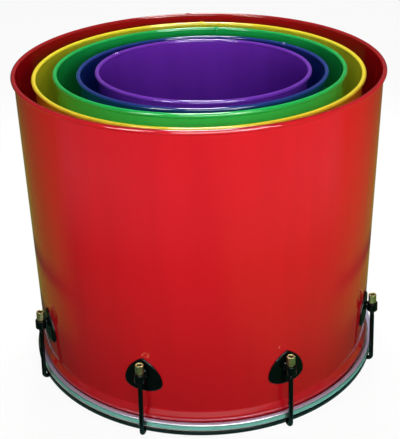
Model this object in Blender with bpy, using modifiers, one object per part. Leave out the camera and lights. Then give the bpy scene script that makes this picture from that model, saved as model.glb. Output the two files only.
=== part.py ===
"""Five single-headed drums standing head down, nested one inside another.

Every drum has a rolled steel shell, a plastic head on an aluminium flesh hoop, a black counterhoop
under it, and J-shaped tension hooks held in lugs by sleeve nuts. Metres, Z up, the outer drum's
head rests on Z = 0.
"""
import math

import bmesh
import bpy
from mathutils import Matrix, Vector

for old in list(bpy.data.objects):
    bpy.data.objects.remove(old)

# Sizes shared by all five drums
GAP = 0.0003            # air between pieces that touch in the real drum
WALL_T = 0.0012         # rolled steel sheet
FILM_T = 0.0005         # head film
BEAD_R = 0.0029         # half the thickness of the rolled bead
BEAD_SHIFT = 0.0008     # bead centre outside the wall's outer face
FLANGE_T = 0.0012       # counterhoop's inward flange, level with its top
FLANGE_IN = 0.0018      # flange's inner edge outside the wall
FLESH_PLAY = 0.0006     # flesh hoop's bore to the film's collar
FLESH_ROUND = 0.0012    # rounding of the flesh hoop's outer edges
FILM_EDGE_IN = 0.0016   # film's edge inside the flesh hoop's outer face
BORE_WALL = 0.0008      # least metal left beside a rod's bore
CUT_OVER = 0.0100       # how far a bore's cutter runs past the metal
PLATE_TIP_SHARE = 0.17  # reach of the curve's handles at a lug plate's tip, as a share of its width
PLATE_TIP_FALL = 0.45   # their slope, which makes the tip pointed
PLATE_SIDE_SHARE = 0.24           # straightness of its sides, as a share of its height

# Outer red drum
RED_WALL_R = 0.2286     # 18 inch shell
RED_RIM_Z = 0.40286     # centre of the rolled bead
RED_STEPS = 56
BULGE_GAP = 0.0008      # flesh hoop's top to the pressed bulge
BULGE_H = 0.0130
BULGE_OUT = 0.0038      # how far the bulge stands out
# The bulge's section, as shares of its height and of how far it stands out
BULGE_OUTSIDE = ((1.00, 0.0), (0.80, 0.74), (0.55, 1.0), (0.27, 1.0), (0.0, 0.0))
BULGE_INSIDE = ((0.05, 0.0), (0.30, 1.0), (0.52, 1.0), (1.00, 0.0))

# Red head hoops
BAND_OUT = 0.0114       # counterhoop's outer face outside the wall
BAND_T = 0.0018
BAND_Z0 = 0.0070
FLANGE_Z = 0.0113       # flange's underside
FLESH_SHY = 0.0         # flesh hoop's outer face inside the counterhoop's
FLESH_H = 0.0088

# Red lugs, hooks and nuts
RED_LUGS = 8
FIRST_LUG = math.radians(-64.3)   # from the camera side, towards +X
HOOK_R = 0.0027                   # half the rod's thickness
HOOK_BAND_GAP = 0.0011            # rod to the band's outer face
HOOK_TIP_GAP = 0.0007             # hook's tip to the band's inner face
HOOK_SEAT_UP = 0.0007             # bend's centre above the band's lower edge
HOOK_TIP_RISE = 0.0030
ROD_OUT = 0.0109                  # rod axis outside the wall, at the nut's lower face
NUT_Z = 0.0941
NUT_H = 0.0125
NUT_FLATS = 0.0100
NUT_CHAMFER = 0.0009
ROD_TOP_DROP = 0.0020             # rod end below the nut's top
ROD_PLAY = 0.0005                 # rod to its holes in lug and nut
BUSH_R = 0.0070
BUSH_H = 0.0118
ARM_W = 0.0080
ARM_H = 0.0099
PLATE_W = 0.0490
PLATE_UP = 0.0216                 # plate apex above the bush's middle
PLATE_DOWN = 0.0269
PLATE_WIDEST = 0.0134             # widest line below the bush's middle
PLATE_T = 0.0022
PLATE_CLEAR = 0.0004              # plate back to shell
ROUND_SIDES = 10                  # sides of round holes and bushes

# Inner drums
INNER_LUGS = 6
INNER_BAND_OUT = 0.0091
INNER_BAND_T = 0.0018
INNER_FLANGE_Z = 0.0108
INNER_FLESH_SHY = 0.0006
INNER_FLESH_H = 0.0070
INNER_HOOK_R = 0.0022
INNER_ROD_OVERLAP = 0.00025       # rod pressed into the band, one solid
INNER_HOOK_BOTTOM = 0.0003        # hook's underside above its own drum's head
INNER_TIP_RISE = 0.0045
INNER_ROD_PLAY = 0.0007
INNER_BUSH_WALL = 0.0017          # metal round the bush's bore
INNER_BUSH_Z = 0.0780
INNER_BUSH_H = 0.0095
INNER_POST_W = 0.0055
INNER_POST_IN = 0.0012            # post's faces inside the bush's ends
INNER_NUT_H = 0.0130
INNER_NUT_FLATS = 0.0080
INNER_ROUND_SIDES = 6
INNER_PLATE_W = 0.0340
INNER_PLATE_UP = 0.0170
INNER_PLATE_DOWN = 0.0220
INNER_PLATE_WIDEST = 0.0085
INNER_PLATE_T = 0.0016
PLATE_SINK = 0.0011               # inner plates sunk into the faceted wall, one solid
NEST_GAP = 0.00035                # head film to the film of the drum that it stands on

# Each inner drum, from the outside in: how much smaller its wall radius is than that of the drum
# round it, height of its bead centre above its own head, sideways place of its foot, lean of its
# axis per metre of height, steps round, angle of its first lug. Steps are a multiple of the lugs,
# and every lug stands on an edge between two facets, so that all its joints to the walls are alike.
INNER_DRUMS = {
    "yellow": {"step_in": 0.0243, "rim": 0.3952, "foot": (0.0, 0.0), "lean": (0.0, 0.0),
               "steps": 36, "turn": -50.0},
    "green": {"step_in": 0.0233, "rim": 0.3913, "foot": (0.0014, 0.0), "lean": (0.0003, 0.0199),
              "steps": 36, "turn": -40.0},
    "blue": {"step_in": 0.0252, "rim": 0.3841, "foot": (0.0046, 0.0), "lean": (0.0007, 0.0275),
             "steps": 30, "turn": -54.0},
    "purple": {"step_in": 0.0223, "rim": 0.3836, "foot": (0.0030, 0.0001), "lean": (0.0079, 0.0273),
               "steps": 30, "turn": -42.0},
}

parts = bpy.data.collections.new("nested_drums")
cutters = bpy.data.collections.new("cutters")
bpy.context.scene.collection.children.link(parts)
bpy.context.scene.collection.children.link(cutters)


def material(name, rgb, rough, metal):
    mat = bpy.data.materials.new(name)
    mat.use_nodes = True
    shader = mat.node_tree.nodes["Principled BSDF"]
    shader.inputs["Base Color"].default_value = (*rgb, 1.0)
    shader.inputs["Roughness"].default_value = rough
    shader.inputs["Metallic"].default_value = metal
    mat.diffuse_color = (*rgb, 1.0)
    return mat


ENAMELS = {
    "red": material("red_enamel", (0.60, 0.03, 0.03), 0.15, 0.0),
    "yellow": material("yellow_enamel", (0.80, 0.62, 0.03), 0.18, 0.0),
    "green": material("green_enamel", (0.02, 0.36, 0.09), 0.18, 0.0),
    "blue": material("blue_enamel", (0.02, 0.08, 0.30), 0.18, 0.0),
    "purple": material("purple_enamel", (0.17, 0.04, 0.38), 0.18, 0.0),
}
ALUMINIUM = material("polished_aluminium", (0.62, 0.68, 0.67), 0.20, 1.0)
FILM = material("head_film", (0.78, 0.78, 0.74), 0.40, 0.0)
BLACK = material("black_lacquer", (0.006, 0.010, 0.009), 0.18, 0.0)
ZINC = material("yellow_zinc", (0.62, 0.55, 0.28), 0.25, 1.0)


def put(name, mesh, mat, collection=parts):
    """Links a mesh as an object of its own."""
    obj = bpy.data.objects.new(name, mesh)
    collection.objects.link(obj)
    if mat and not mesh.materials:
        mesh.materials.append(mat)
    return obj


def baked(obj):
    """Gives back the object's mesh with its modifiers or curve bevel turned into faces."""
    bpy.context.view_layer.update()
    graph = bpy.context.evaluated_depsgraph_get()
    mesh = bpy.data.meshes.new_from_object(obj.evaluated_get(graph))
    bm = bmesh.new()
    bm.from_mesh(mesh)
    bmesh.ops.remove_doubles(bm, verts=bm.verts, dist=0.000002)
    bmesh.ops.recalc_face_normals(bm, faces=bm.faces)
    bm.to_mesh(mesh)
    bm.free()
    return mesh


def smooth(mesh, degrees=35.0):
    mesh.polygons.foreach_set("use_smooth", [True] * len(mesh.polygons))
    mesh.set_sharp_from_angle(angle=math.radians(degrees))
    mesh.update()
    return mesh


def turned(name, profile, steps, closed=True):
    """Turns a profile of (radius, height) points about Z. The profile runs down its outer side."""
    mesh = bpy.data.meshes.new(name)
    count = len(profile)
    edges = [(i, (i + 1) % count) for i in range(count if closed else count - 1)]
    mesh.from_pydata([(r, 0.0, z) for r, z in profile], edges, [])
    rough = put(name + "_profile", mesh, None, cutters)
    screw = rough.modifiers.new("turn", "SCREW")
    screw.axis = "Z"
    screw.angle = math.tau
    screw.steps = steps
    screw.render_steps = steps
    screw.use_merge_vertices = True
    screw.merge_threshold = 0.00001
    solid = baked(rough)
    bpy.data.objects.remove(rough)
    solid.name = name
    return smooth(solid)


def arc(centre, radius, start, end, count):
    """Points on a circle in the (radius, height) plane, angles in degrees."""
    points = []
    for i in range(count):
        angle = math.radians(start + (end - start) * i / (count - 1))
        points.append((centre[0] + radius * math.cos(angle), centre[1] + radius * math.sin(angle)))
    return points


def boolean(mesh, other, operation):
    """Joins to, or cuts from, a mesh with the exact solver and gives back the result."""
    body = put("body", mesh, None, cutters)
    tool = put("tool", other, None, cutters)
    for obj in (body, tool):
        obj.hide_render = True
        obj.display_type = "WIRE"
    mod = body.modifiers.new("cut", "BOOLEAN")
    mod.operation = operation
    mod.solver = "EXACT"
    mod.object = tool
    result = baked(body)
    bpy.data.objects.remove(body)
    bpy.data.objects.remove(tool)
    return result


def cylinder(radius, low, high, sides, bevel=0.0):
    """An upright round bar about Z, its top edge chamfered where a bevel is given."""
    bm = bmesh.new()
    bmesh.ops.create_cone(bm, cap_ends=True, segments=sides, radius1=radius, radius2=radius,
                          depth=high - low)
    bmesh.ops.translate(bm, verts=bm.verts, vec=(0.0, 0.0, (high + low) / 2))
    if bevel:
        top = [e for e in bm.edges if all(v.co.z > high - 0.000001 for v in e.verts)]
        bmesh.ops.bevel(bm, geom=top, offset=bevel, segments=1, affect="EDGES", profile=0.5)
    mesh = bpy.data.meshes.new("bar")
    bm.to_mesh(mesh)
    bm.free()
    return mesh


def block(low, high):
    bm = bmesh.new()
    bmesh.ops.create_cube(bm, size=1.0)
    size = [b - a for a, b in zip(low, high)]
    middle = [(a + b) / 2 for a, b in zip(low, high)]
    bmesh.ops.scale(bm, verts=bm.verts, vec=size)
    bmesh.ops.translate(bm, verts=bm.verts, vec=middle)
    mesh = bpy.data.meshes.new("block")
    bm.to_mesh(mesh)
    bm.free()
    return mesh


def moved(mesh, matrix):
    mesh.transform(matrix)
    return mesh


def joined(meshes):
    """Puts separate solids into one mesh, to be used as one Boolean tool."""
    bm = bmesh.new()
    for mesh in meshes:
        bm.from_mesh(mesh)
    out = bpy.data.meshes.new("joined")
    bm.to_mesh(out)
    bm.free()
    return out


def tube(points, radius, detail):
    """A round bar along points in the XZ plane, with filled ends."""
    curve = bpy.data.curves.new("rod", "CURVE")
    curve.dimensions = "3D"
    curve.bevel_depth = radius
    curve.bevel_resolution = detail
    curve.use_fill_caps = True
    line = curve.splines.new("POLY")
    line.points.add(len(points) - 1)
    for point, (x, z) in zip(line.points, points):
        point.co = (x, 0.0, z, 1.0)
    rough = bpy.data.objects.new("rod", curve)
    cutters.objects.link(rough)
    mesh = baked(rough)
    bpy.data.objects.remove(rough)
    return mesh


def pick_plate(width, up, down, widest, thick, radius, detail, cuts):
    """A rounded three-cornered plate, point up, wrapped on a cylinder of the given radius.

    Made at the origin facing +X, with its back on the cylinder about Z.
    """
    curve = bpy.data.curves.new("plate", "CURVE")
    curve.dimensions = "2D"
    curve.fill_mode = "BOTH"
    curve.extrude = thick / 2
    curve.resolution_u = detail
    line = curve.splines.new("BEZIER")
    line.bezier_points.add(2)
    half = width / 2
    low_pull = (4 * down - widest) / 3    # brings the lower curve's middle to the depth asked for
    tip = PLATE_TIP_SHARE * width
    shoulder = up - PLATE_TIP_FALL * tip
    side = PLATE_SIDE_SHARE * up
    corners = [
        ((0.0, up), (-tip, shoulder), (tip, shoulder)),
        ((half, -widest), (half, side), (half, -low_pull)),
        ((-half, -widest), (-half, -low_pull), (-half, side)),
    ]
    for point, (at, left, right) in zip(line.bezier_points, corners):
        point.co = (*at, 0.0)
        point.handle_left = (*left, 0.0)
        point.handle_right = (*right, 0.0)
    line.use_cyclic_u = True
    rough = bpy.data.objects.new("plate", curve)
    cutters.objects.link(rough)
    mesh = baked(rough)
    bpy.data.objects.remove(rough)
    bm = bmesh.new()
    bm.from_mesh(mesh)
    bmesh.ops.dissolve_limit(bm, angle_limit=0.01, verts=bm.verts, edges=bm.edges)
    for i in range(cuts):
        at = -half + width * (i + 1) / (cuts + 1)
        bmesh.ops.bisect_plane(bm, geom=bm.verts[:] + bm.edges[:] + bm.faces[:],
                               plane_co=(at, 0.0, 0.0), plane_no=(1.0, 0.0, 0.0))
    for vert in bm.verts:
        across, high, out = vert.co
        out_r = radius + out + thick / 2
        angle = across / radius
        vert.co = Vector((out_r * math.cos(angle), out_r * math.sin(angle), high))
    bmesh.ops.recalc_face_normals(bm, faces=bm.faces)
    bm.to_mesh(mesh)
    bm.free()
    return mesh


def placed(angle, radius=0.0, height=0.0):
    """Turns a piece made along +X to a lug's angle, counted from the camera side towards +X."""
    return Matrix.Rotation(angle - math.pi / 2, 4, "Z") @ Matrix.Translation((radius, 0.0, height))


def hoop_stack(flange_z, flesh_h):
    """Heights of the film's edge and of the flesh hoop's two faces, from the counterhoop up."""
    film_z = flange_z + FLANGE_T + GAP
    flesh_low = film_z + FILM_T + GAP
    return film_z, flesh_low, flesh_low + flesh_h


def bead_join(inset):
    """Angle, in degrees, from the bead's level line to where a face of the wall meets it."""
    return math.degrees(math.acos((BEAD_SHIFT + inset) / BEAD_R))


def shell_profile(wall_r, rim_z, outside, inside, bead_points):
    """Shell's section: bead curled outwards at the open end, outer face, lower edge, inner face."""
    bead = (wall_r + BEAD_SHIFT, rim_z)
    inner_r = wall_r - WALL_T
    base_z = FILM_T + GAP
    profile = arc(bead, BEAD_R, 100.0, -180.0 + bead_join(0.0), bead_points)
    profile += [(wall_r + out, z) for out, z in outside]
    profile += [(wall_r, base_z), (inner_r, base_z)]
    profile += [(inner_r + out, z) for out, z in inside]
    profile += arc(bead, BEAD_R, 180.0 + bead_join(WALL_T), 150.0, 2)
    return profile


def head_profile(wall_r, edge_z, edge_r):
    """Film: flat playing face, collar up the outside of the shell, and the edge that is clamped."""
    inner = wall_r + GAP
    outer = inner + FILM_T
    return [(0.0, FILM_T), (inner, FILM_T), (inner, edge_z + FILM_T), (edge_r, edge_z + FILM_T),
            (edge_r, edge_z), (outer, edge_z), (outer, 0.0), (0.0, 0.0)]


def flesh_profile(inner, outer, low, high):
    """Square aluminium ring with its two outer edges rounded."""
    edge = outer - FLESH_ROUND
    return [(edge, high), (outer, high - FLESH_ROUND), (outer, low + FLESH_ROUND), (edge, low),
            (inner, low), (inner, high)]


def counterhoop_profile(outer, thick, low, flange_in, flange_z):
    """Upright band with an inward flange at its top that presses the film's edge on the flesh hoop."""
    inner = outer - thick
    top = flange_z + FLANGE_T
    return [(outer, top), (outer, low), (inner, low), (inner, flange_z), (flange_in, flange_z),
            (flange_in, top)]


def head_and_hoops(wall_r, band_out, band_t, band_low, flange_z, flesh_shy, flesh_h, steps):
    """Meshes of a drum's film, flesh hoop and plain counterhoop."""
    film_z, flesh_low, flesh_high = hoop_stack(flange_z, flesh_h)
    band_r = wall_r + band_out
    flesh_r = band_r - flesh_shy
    flesh_bore = wall_r + GAP + FILM_T + FLESH_PLAY
    film = turned("film", head_profile(wall_r, film_z, flesh_r - FILM_EDGE_IN), steps, closed=False)
    flesh = turned("flesh", flesh_profile(flesh_bore, flesh_r, flesh_low, flesh_high), steps)
    hoop = turned("hoop", counterhoop_profile(band_r, band_t, band_low, wall_r + FLANGE_IN, flange_z), steps)
    return film, flesh, hoop


# Red shell: rolled steel, bead curled outwards at the open end, a bulge pressed out above the head
# hoops, and a plain lower edge that the film is stretched over.
bulge_z = hoop_stack(FLANGE_Z, FLESH_H)[2] + BULGE_GAP
bulge_outside = [(out * BULGE_OUT, bulge_z + up * BULGE_H) for up, out in BULGE_OUTSIDE]
bulge_inside = [(out * BULGE_OUT, bulge_z + up * BULGE_H) for up, out in BULGE_INSIDE]
put("red_shell", turned("red_shell", shell_profile(RED_WALL_R, RED_RIM_Z, bulge_outside, bulge_inside, 6),
                        RED_STEPS), ENAMELS["red"])

# Red head: plastic film, its edge clamped between the flesh hoop and the counterhoop's flange.
# Red flesh hoop: aluminium ring. Red counterhoop: black steel band that the hooks pull on.
red_film, red_flesh, red_hoop = head_and_hoops(RED_WALL_R, BAND_OUT, BAND_T, BAND_Z0, FLANGE_Z,
                                               FLESH_SHY, FLESH_H, RED_STEPS)
put("red_head", red_film, FILM)
put("red_flesh_hoop", red_flesh, ALUMINIUM)
put("red_counterhoop", red_hoop, BLACK)

# Red lugs: black pressed plate with an arm that ends in an upright bush for the rod. Their meshes
# are made round the rod's axis at the nut's lower face.
band_r = RED_WALL_R + BAND_OUT
nut_r = RED_WALL_R + ROD_OUT
foot_out = band_r + HOOK_BAND_GAP + HOOK_R - nut_r
bend_z = BAND_Z0 + HOOK_SEAT_UP - NUT_Z
rod_lean = math.atan2(foot_out, -bend_z)
lean_turn = Matrix.Rotation(-rod_lean, 4, "Y")
hole_r = HOOK_R + ROD_PLAY
bush_top = -GAP
bush_mid = bush_top - BUSH_H / 2
back_r = RED_WALL_R + PLATE_CLEAR
plate = pick_plate(PLATE_W, PLATE_UP, PLATE_DOWN, PLATE_WIDEST, PLATE_T, back_r, 4, 3)
moved(plate, Matrix.Translation((-nut_r, 0.0, bush_mid)))
arm = block((back_r + PLATE_T / 2 - nut_r, -ARM_W / 2, bush_mid - ARM_H / 2),
            (-hole_r - BORE_WALL, ARM_W / 2, bush_mid + ARM_H / 2))
bush = moved(cylinder(BUSH_R, bush_top - BUSH_H, bush_top, ROUND_SIDES), lean_turn)
hole = moved(cylinder(hole_r, bush_top - BUSH_H - CUT_OVER, bush_top + CUT_OVER, ROUND_SIDES), lean_turn)
lug = boolean(boolean(plate, arm, "UNION"), bush, "UNION")
lug = smooth(boolean(lug, hole, "DIFFERENCE"), 40.0)
lug.name = "red_lug"

# Red hooks: black steel rod, threaded at the top, bent round the counterhoop's lower edge.
bend_r = (HOOK_BAND_GAP + HOOK_R + BAND_T + HOOK_TIP_GAP + HOOK_R) / 2
rod_top = NUT_H - ROD_TOP_DROP
path = [(-rod_top * math.tan(rod_lean), rod_top)]
path += arc((foot_out - bend_r, bend_z), bend_r, 0.0, -180.0, 6)
path += [(foot_out - 2 * bend_r, bend_z + HOOK_TIP_RISE)]
hook = smooth(tube(path, HOOK_R, 1), 60.0)
hook.name = "red_tension_hook"

# Red nuts: yellow-zinc hexagonal sleeve nuts, turned with a key.
nut = cylinder(NUT_FLATS / math.sqrt(3), 0.0, NUT_H, 6, NUT_CHAMFER)
nut = boolean(nut, cylinder(hole_r, -CUT_OVER, NUT_H + CUT_OVER, ROUND_SIDES), "DIFFERENCE")
nut = moved(nut, lean_turn)
nut.name = "red_nut"

for i in range(RED_LUGS):
    spot = placed(FIRST_LUG + math.tau * i / RED_LUGS, nut_r, NUT_Z)
    for kind, mesh, mat in (("lug", lug, BLACK), ("tension_hook", hook, BLACK), ("nut", nut, ZINC)):
        piece = put("red_%s_%d" % (kind, i + 1), mesh, mat)
        piece.matrix_world = spot


def ring_of(mesh, turn):
    """Copies of an inner drum's fitting, made along +X, at each of its lug places."""
    return joined([moved(mesh.copy(), placed(turn + math.tau * i / INNER_LUGS)) for i in range(INNER_LUGS)])


def inner_lug(wall_r):
    """Plate on the wall, with a post and an upright bush round the rod."""
    rod_r = wall_r + INNER_BAND_OUT + INNER_HOOK_R - INNER_ROD_OVERLAP
    bore_r = INNER_HOOK_R + INNER_ROD_PLAY
    bush_low = INNER_BUSH_Z
    bush_high = INNER_BUSH_Z + INNER_BUSH_H
    base = pick_plate(INNER_PLATE_W, INNER_PLATE_UP, INNER_PLATE_DOWN, INNER_PLATE_WIDEST,
                      INNER_PLATE_T + PLATE_SINK, wall_r - PLATE_SINK, 2, 1)
    moved(base, Matrix.Translation((0.0, 0.0, (bush_low + bush_high) / 2)))
    post = block((wall_r + INNER_PLATE_T / 2, -INNER_POST_W / 2, bush_low + INNER_POST_IN),
                 (rod_r - bore_r - BORE_WALL, INNER_POST_W / 2, bush_high - INNER_POST_IN))
    at_rod = Matrix.Translation((rod_r, 0.0, 0.0))
    eye = moved(cylinder(bore_r + INNER_BUSH_WALL, bush_low, bush_high, INNER_ROUND_SIDES), at_rod)
    bore = moved(cylinder(bore_r, bush_low - CUT_OVER, bush_high + CUT_OVER, INNER_ROUND_SIDES), at_rod)
    return boolean(boolean(boolean(base, post, "UNION"), eye, "UNION"), bore, "DIFFERENCE")


def inner_hook(wall_r, bend, bend_z):
    """Hook round the band's lower edge with its nut above the bush."""
    band_mid = wall_r + INNER_BAND_OUT - INNER_BAND_T / 2
    nut_z = INNER_BUSH_Z + INNER_BUSH_H + GAP
    line = [(band_mid + bend, nut_z + INNER_NUT_H / 2)]
    line += arc((band_mid, bend_z), bend, 0.0, -180.0, 4)
    line += [(band_mid - bend, bend_z + INNER_TIP_RISE)]
    cap = moved(cylinder(INNER_NUT_FLATS / math.sqrt(3), nut_z, nut_z + INNER_NUT_H, 6),
                Matrix.Translation((band_mid + bend, 0.0, 0.0)))
    return boolean(tube(line, INNER_HOOK_R, 1), cap, "UNION")


# Inner drums: yellow, green, blue and purple, each built upright on its own head, then stood in its
# place in the nest with its own slight lean. Its lugs are one solid with the shell, and its hooks
# and nuts with the counterhoop.
wall = RED_WALL_R
stand_z = 0.0
outer_lean = Vector((0.0, 0.0))
for colour, drum in INNER_DRUMS.items():
    wall -= drum["step_in"]
    steps = drum["steps"]
    turn = math.radians(drum["turn"])
    lean = Vector(drum["lean"])
    stand_z += FILM_T + NEST_GAP + (lean - outer_lean).length * (wall + GAP + FILM_T)
    outer_lean = lean
    axis = Vector((lean.x, lean.y, 1.0)).normalized()
    stand = bpy.data.objects.new(colour + "_drum", None)
    parts.objects.link(stand)
    tilt = Vector((0.0, 0.0, 1.0)).rotation_difference(axis).to_matrix().to_4x4()
    stand.matrix_world = Matrix.Translation((*drum["foot"], stand_z)) @ tilt
    hook_bend = INNER_BAND_T / 2 + INNER_HOOK_R - INNER_ROD_OVERLAP
    band_low = INNER_HOOK_BOTTOM + INNER_HOOK_R + hook_bend
    film, flesh, hoop = head_and_hoops(wall, INNER_BAND_OUT, INNER_BAND_T, band_low, INNER_FLANGE_Z,
                                       INNER_FLESH_SHY, INNER_FLESH_H, steps)
    shell = turned("shell", shell_profile(wall, drum["rim"], [], [], 5), steps)
    shell = smooth(boolean(shell, ring_of(inner_lug(wall), turn), "UNION"))
    hoop = smooth(boolean(hoop, ring_of(inner_hook(wall, hook_bend, band_low), turn), "UNION"))
    for part, mesh, mat in (("shell", shell, ENAMELS[colour]), ("head", film, FILM),
                            ("flesh_hoop", flesh, ALUMINIUM), ("counterhoop", hoop, BLACK)):
        mesh.name = colour + "_" + part
        piece = put(mesh.name, mesh, mat)
        piece.parent = stand
bpy.context.view_layer.update()
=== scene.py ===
"""A nest of five steel drums, heads down and open ends up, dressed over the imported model.

Metres, Z up. The outer drum's head stands on Z = 0 and the camera looks along +Y.
"""
import math

import bmesh
import bpy
from mathutils import Matrix, Vector, noise


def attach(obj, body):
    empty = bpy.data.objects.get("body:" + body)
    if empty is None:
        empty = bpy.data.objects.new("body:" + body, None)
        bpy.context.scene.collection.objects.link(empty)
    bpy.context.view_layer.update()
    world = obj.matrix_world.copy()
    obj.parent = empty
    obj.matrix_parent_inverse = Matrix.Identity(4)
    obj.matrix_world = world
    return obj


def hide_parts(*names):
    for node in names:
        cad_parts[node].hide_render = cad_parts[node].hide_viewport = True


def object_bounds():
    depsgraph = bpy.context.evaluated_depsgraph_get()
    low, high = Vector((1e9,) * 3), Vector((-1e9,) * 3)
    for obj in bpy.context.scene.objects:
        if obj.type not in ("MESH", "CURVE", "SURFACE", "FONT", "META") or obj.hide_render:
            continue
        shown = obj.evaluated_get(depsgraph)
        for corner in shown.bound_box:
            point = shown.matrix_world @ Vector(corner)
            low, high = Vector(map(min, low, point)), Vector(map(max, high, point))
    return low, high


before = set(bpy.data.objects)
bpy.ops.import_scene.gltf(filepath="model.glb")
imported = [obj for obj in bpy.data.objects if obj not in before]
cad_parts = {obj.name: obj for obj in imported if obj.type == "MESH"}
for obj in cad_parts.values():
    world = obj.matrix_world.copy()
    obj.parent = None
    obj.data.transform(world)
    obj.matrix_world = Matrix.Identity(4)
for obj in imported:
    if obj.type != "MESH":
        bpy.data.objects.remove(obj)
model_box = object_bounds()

# camera
# The photograph looks down into the nest from about 1.3 m away, 30 degrees above level,
# with the rims in the upper third of a frame that is a little taller than wide.
CAMERA_AT = Vector((0.0, -1.11204, 0.75864))
CAMERA_YAW, CAMERA_DOWN, CAMERA_ROLL = -0.00344, 0.51617, 0.02423
LENS = 74.91              # mm on a 36 mm frame
FRAME_UP = 0.0809         # the photograph is cropped to above the lens axis

ahead = Vector((math.sin(CAMERA_YAW) * math.cos(CAMERA_DOWN),
                math.cos(CAMERA_YAW) * math.cos(CAMERA_DOWN), -math.sin(CAMERA_DOWN)))
level = Vector((math.cos(CAMERA_YAW), -math.sin(CAMERA_YAW), 0.0))
below = ahead.cross(level)
right = math.cos(CAMERA_ROLL) * level + math.sin(CAMERA_ROLL) * below
below = math.cos(CAMERA_ROLL) * below - math.sin(CAMERA_ROLL) * level
camera = bpy.data.objects.new("camera", bpy.data.cameras.new("camera"))
bpy.context.scene.collection.objects.link(camera)
camera.matrix_world = Matrix.Translation(CAMERA_AT) @ Matrix((right, -below, -ahead)).transposed().to_4x4()
camera.data.sensor_width = 36.0
camera.data.lens = LENS
camera.data.shift_y = FRAME_UP
bpy.context.scene.camera = camera
bpy.context.scene.view_settings.view_transform = "Standard"

# paper floor and studio light
# Pale floor, lit by two low and two high softboxes in front, one overhead and one behind. To the
# camera it is nearly white and keeps the drum's shadow; to gloss and soft light it shows painted
# reflection, bands of green, olive and pale teal by radius that the enamel and the metal mirror.
FLOOR_SPAN = 40.0
PAPER = "F2F2F0"
# painted reflection: bands seen only by gloss and soft light, which also tint the floor's bounce light
PAINTED_REFLECTION_AHEAD = ((0.243, "84DED0"), (0.249, "123E2A"), (0.60, "183A2A"), (0.95, "8C8A90"))   # by radius
PAINTED_REFLECTION_RIGHTWARD = ((0.243, "84DED0"), (0.249, "18602C"), (0.60, "1C622C"), (0.95, "8C9A90"))
PAINTED_REFLECTION_SIDES = ((0.243, "84DED0"), (0.249, "123E2A"), (0.30, "123E2A"), (0.335, "6E742A"), (0.40, "6E742A"),
            (0.44, "203C2C"), (0.50, "6E742A"))
SIDES_FROM = (-0.15, 0.02)   # where the tints in front give way to those at the sides, along Y
RIGHT_FROM = (0.05, 0.18)    # where, along X, the greener tint to the right of the front begins
TINTS_FORWARD = 0.024     # their centre, this much nearer the camera than the drum's
PAPER_SEEN = 0.915        # share of plain white that the camera sees on the paper
PAPER_MIRRORED = 0.02     # the same share in gloss and glass
ROOM = "A9ACAE"
ROOM_STRENGTH = 0.02
ROOM_SEEN = 0.94          # share of plain white that the camera sees above the paper
ROOM_MIRRORED = 0.11      # the same share of the pale room behind and above
SOFTBOXES = (("front", (0.14, -0.95, 0.60), (0.80, 0.66), 4.2, 120.0),
             ("apron", (0.10, -0.95, 0.19), (1.60, 0.13), 0.19, 120.0),
             ("right", (0.536, -0.45, 0.34), (0.40, 0.24), 1.25, 120.0),
             ("left", (-0.47, -0.67, 0.36), (0.40, 0.24), 1.40, 120.0),
             ("back", (0.0, 1.15, 0.50), (1.10, 0.50), 8.0, 120.0),
             ("behind", (0.0, 0.70, 0.90), (0.60, 0.30), 0.6, 180.0),
             ("overhead", (0.0, 0.00, 2.40), (0.60, 0.60), 1.5, 180.0),
             ("overhead_back", (0.0, 0.80, 2.40), (0.60, 0.60), 40.0, 180.0))   # place, size, watts, spread
STREAKS = (("strip_left", (-0.55, -0.68, 0.62)), ("strip_left_top", (-0.50, -0.63, 1.10)),
           ("strip_right", (0.45, -0.75, 0.62)), ("strip_right_top", (0.41, -0.68, 1.10)))
STREAK_SIZE = (0.32, 0.05)
STREAK_WATTS = 0.9        # thin strips that only the gloss shows, as the fine streaks on the beads
AIM = Vector((0.0, 0.0, 0.40))


def linear(code):
    """Turns an sRGB hex colour into the linear values that a socket takes."""
    parts = [int(code[i:i + 2], 16) / 255 for i in (0, 2, 4)]
    return tuple(c / 12.92 if c <= 0.04045 else ((c + 0.055) / 1.055) ** 2.4 for c in parts) + (1.0,)


def add(tree, kind, inputs=None, **settings):
    """Adds a node: its settings, then its inputs, each a plain value or the output that feeds it."""
    made = tree.nodes.new(kind)
    for key, value in settings.items():
        setattr(made, key, value)
    for socket, value in (inputs or {}).items():
        if isinstance(value, bpy.types.NodeSocket):
            tree.links.new(value, made.inputs[socket])
        else:
            made.inputs[socket].default_value = value
    return made


def white_share(tree, seen, mirrored):
    """Share of plain white by what looks: the camera, or gloss and glass."""
    path = add(tree, "ShaderNodeLightPath").outputs
    gloss = add(tree, "ShaderNodeMath", {0: path["Is Glossy Ray"], 1: path["Is Transmission Ray"]},
                operation="MAXIMUM").outputs[0]
    gloss = add(tree, "ShaderNodeMath", {0: gloss, 1: mirrored}, operation="MULTIPLY").outputs[0]
    eye = add(tree, "ShaderNodeMath", {0: path["Is Camera Ray"], 1: seen}, operation="MULTIPLY").outputs[0]
    return add(tree, "ShaderNodeMath", {0: eye, 1: gloss}, operation="MAXIMUM").outputs[0]


def painted_reflection_ramp(stops):
    """Painted reflection colours of the paper by radius, as a ramp on reach."""
    bands = add(paper.node_tree, "ShaderNodeValToRGB", {0: reach})
    while len(bands.color_ramp.elements) < len(stops):
        bands.color_ramp.elements.new(0.5)
    for stop, (radius, code) in zip(bands.color_ramp.elements, stops):
        stop.position, stop.color = radius, linear(code)
    return bands.outputs[0]


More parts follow.
